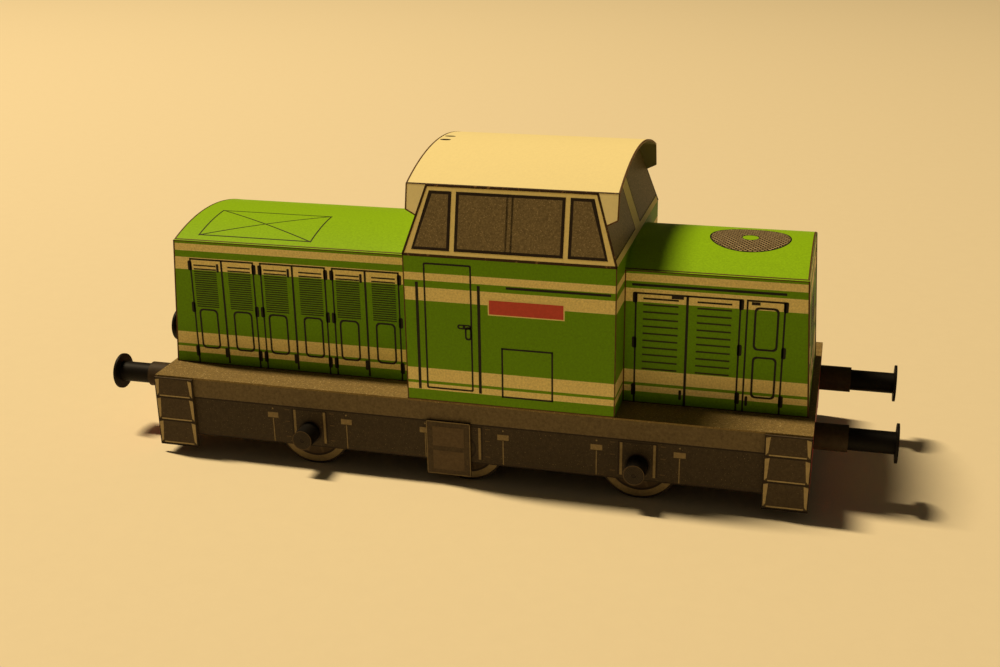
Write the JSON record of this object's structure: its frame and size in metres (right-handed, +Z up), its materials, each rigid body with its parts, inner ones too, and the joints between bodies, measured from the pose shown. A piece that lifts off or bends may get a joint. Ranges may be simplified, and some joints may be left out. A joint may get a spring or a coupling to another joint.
{
  "type": "card model diesel locomotive",
  "caption": "Small card model of a shunting locomotive: long and short hoods, a tall cab with leaning window band and arched roof, disc wheels on rolled axles that turn.",
  "frame": {"origin": "on the plane under the wheels, in the middle of the whole model's length and width", "axes": "+X forwards, towards the short hood; +Y to the left side; +Z up"},
  "size_m": [0.1156, 0.0408, 0.045],
  "materials": {
    "deck_card": "matt card printed khaki",
    "frame_card": "matt card printed dark grey-brown with fine toner speckle",
    "plain_frame_card": "laminated card, printed dark on its face",
    "beam_card": "matt card printed red",
    "step_card": "doubled card printed with light step bars on dark",
    "sleeve_paper": "rolled dark paper, slight sheen",
    "black_paper": "rolled paper blackened with marker, slight sheen",
    "hood_side_card": "matt card printed green with cream stripes and black door lines",
    "hood_roof_card": "matt card printed green",
    "hood_end_card": "matt card printed green with cream stripes",
    "cab_card": "matt card printed green with cream stripes",
    "window_card": "matt card printed cream with dark speckled panes",
    "cab_roof_card": "matt cream card",
    "wheel_card": "laminated card disc printed brown with a pale rim ring"
  },
  "bodies": {
    "locomotive": {"deck": "deck_card", "right_side_frame": "frame_card", "left_side_frame": "frame_card", "right_inner_frame": "plain_frame_card", "left_inner_frame": "plain_frame_card", "front_beam": "beam_card", "rear_beam": "beam_card", "front_right_steps": "step_card", "front_left_steps": "step_card", "rear_right_steps": "step_card", "rear_left_steps": "step_card", "right_cab_steps": "step_card", "left_cab_steps": "step_card", "front_buffer_sleeves": "sleeve_paper", "front_buffer_plungers": "black_paper", "front_buffer_heads": "black_paper", "rear_buffer_sleeves": "sleeve_paper", "rear_buffer_plungers": "black_paper", "rear_buffer_heads": "black_paper", "long_hood_right_side": "hood_side_card", "long_hood_left_side": "hood_side_card", "long_hood_roof": "hood_roof_card", "long_hood_end": "hood_end_card", "short_hood_right_side": "hood_side_card", "short_hood_left_side": "hood_side_card", "short_hood_roof": "hood_roof_card", "short_hood_end": "hood_end_card", "cab_right_side": "cab_card", "cab_left_side": "cab_card", "cab_front_wall": "cab_card", "cab_rear_wall": "cab_card", "cab_right_windows": "window_card", "cab_left_windows": "window_card", "cab_front_windows": "window_card", "cab_rear_windows": "window_card", "cab_roof": "cab_roof_card"},
    "front_wheelset": {"front_axle": "black_paper", "front_right_wheel": "wheel_card", "front_left_wheel": "wheel_card"},
    "middle_wheelset": {"middle_axle": "black_paper", "middle_right_wheel": "wheel_card", "middle_left_wheel": "wheel_card"},
    "rear_wheelset": {"rear_axle": "black_paper", "rear_right_wheel": "wheel_card", "rear_left_wheel": "wheel_card"}
  },
  "joints": [
    {"name": "front_wheelset_spin", "type": "hinge", "parent": "locomotive", "child": "front_wheelset", "pos_m": [0.0244, 0, 0.0055], "axis": [0, 1, 0], "continuous": true},
    {"name": "middle_wheelset_spin", "type": "hinge", "parent": "locomotive", "child": "middle_wheelset", "pos_m": [0.0002, 0, 0.0055], "axis": [0, 1, 0], "continuous": true},
    {"name": "rear_wheelset_spin", "type": "hinge", "parent": "locomotive", "child": "rear_wheelset", "pos_m": [-0.0227, 0, 0.0055], "axis": [0, 1, 0], "continuous": true}
  ]
}
